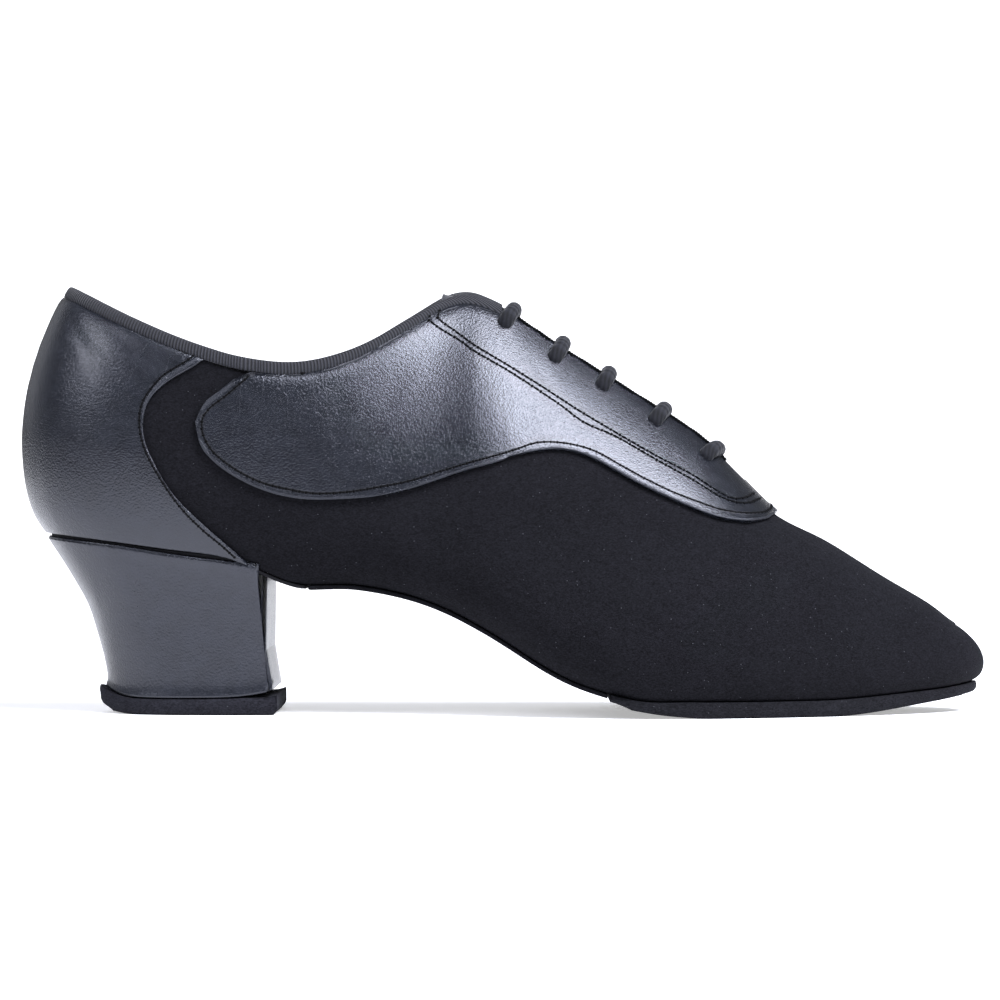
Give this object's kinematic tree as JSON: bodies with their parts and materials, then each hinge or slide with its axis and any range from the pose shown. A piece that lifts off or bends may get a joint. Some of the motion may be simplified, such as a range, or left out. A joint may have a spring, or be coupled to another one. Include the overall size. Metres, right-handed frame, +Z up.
{
  "type": "ballroom dance shoe",
  "caption": "Black lace-up ballroom dance shoe for the right foot, suede body with smooth leather overlays, split suede sole and a flared covered heel.",
  "frame": {"origin": "middle of the shoe's outline seen from above, on the floor", "axes": "+X towards the toe, +Z up, so +Y is the inner (medial) side of this right shoe"},
  "size_m": [0.2751, 0.0916, 0.121],
  "materials": {
    "upper": "black suede with a short nap",
    "counter_overlay": "smooth black leather, satin",
    "eyestay_overlay": "smooth black leather, satin",
    "topline_binding": "black ribbed tape",
    "tongue": "soft black leather",
    "insole": "dark insole leather",
    "forepart_sole": "black chrome suede sole",
    "waist_cover": "black suede",
    "heel_seat_sole": "black chrome suede sole",
    "heel_block": "smooth black leather over a moulded heel",
    "heel_breast_cover": "smooth black leather",
    "heel_tip": "black suede top piece",
    "lace_bar_1": "black braided cord",
    "lace_bar_2": "black braided cord",
    "lace_bar_3": "black braided cord",
    "lace_bar_4": "black braided cord",
    "lace_bar_5": "black braided cord"
  },
  "bodies": {
    "root": {"upper": "upper", "counter_overlay": "counter_overlay", "eyestay_overlay": "eyestay_overlay", "topline_binding": "topline_binding", "tongue": "tongue", "insole": "insole", "forepart_sole": "forepart_sole", "waist_cover": "waist_cover", "heel_seat_sole": "heel_seat_sole", "heel_block": "heel_block", "heel_breast_cover": "heel_breast_cover", "heel_tip": "heel_tip", "lace_bar_1": "lace_bar_1", "lace_bar_2": "lace_bar_2", "lace_bar_3": "lace_bar_3", "lace_bar_4": "lace_bar_4", "lace_bar_5": "lace_bar_5"}
  },
  "joints": []
}
